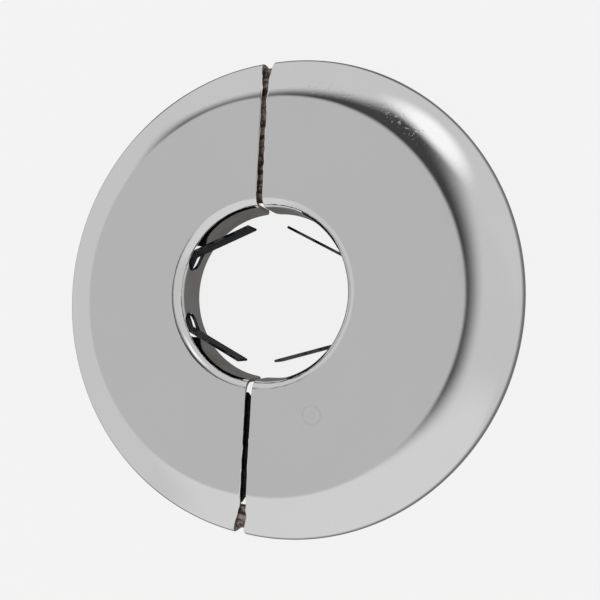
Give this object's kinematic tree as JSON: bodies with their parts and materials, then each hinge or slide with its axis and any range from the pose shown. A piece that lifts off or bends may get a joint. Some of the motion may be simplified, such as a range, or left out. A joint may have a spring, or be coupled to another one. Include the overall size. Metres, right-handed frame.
{
  "type": "pipe rosette",
  "caption": "Split chrome-plated pipe rosette: hinged pressed halves with a rolled rim, collared bore, spring legs that grip the pipe, and a latch tongue.",
  "frame": {"origin": "on the pipe's axis, in the plane of the skirt's rear edge, which meets the wall or floor", "axes": "+Z along the pipe, out of the visible face; +Y towards the hinge rivet; +X towards the half that swings"},
  "size_m": [0.0648, 0.064, 0.011],
  "materials": {
    "plate_chrome": "polished chrome plate on pressed steel, slightly pitted",
    "spring_steel": "blued spring steel",
    "rivet_steel": "plain steel rivet"
  },
  "bodies": {
    "left_half": {"half_plate_left": "plate_chrome", "spring_left": "spring_steel", "hinge_rivet": "rivet_steel"},
    "right_half": {"half_plate_right": "plate_chrome", "spring_right": "spring_steel"}
  },
  "joints": [
    {"name": "hinge", "type": "hinge", "parent": "left_half", "child": "right_half", "pos_m": [-0.00055, 0.0299, 0.0014], "axis": [0, 0, 1], "range_deg": [0, 33]}
  ]
}
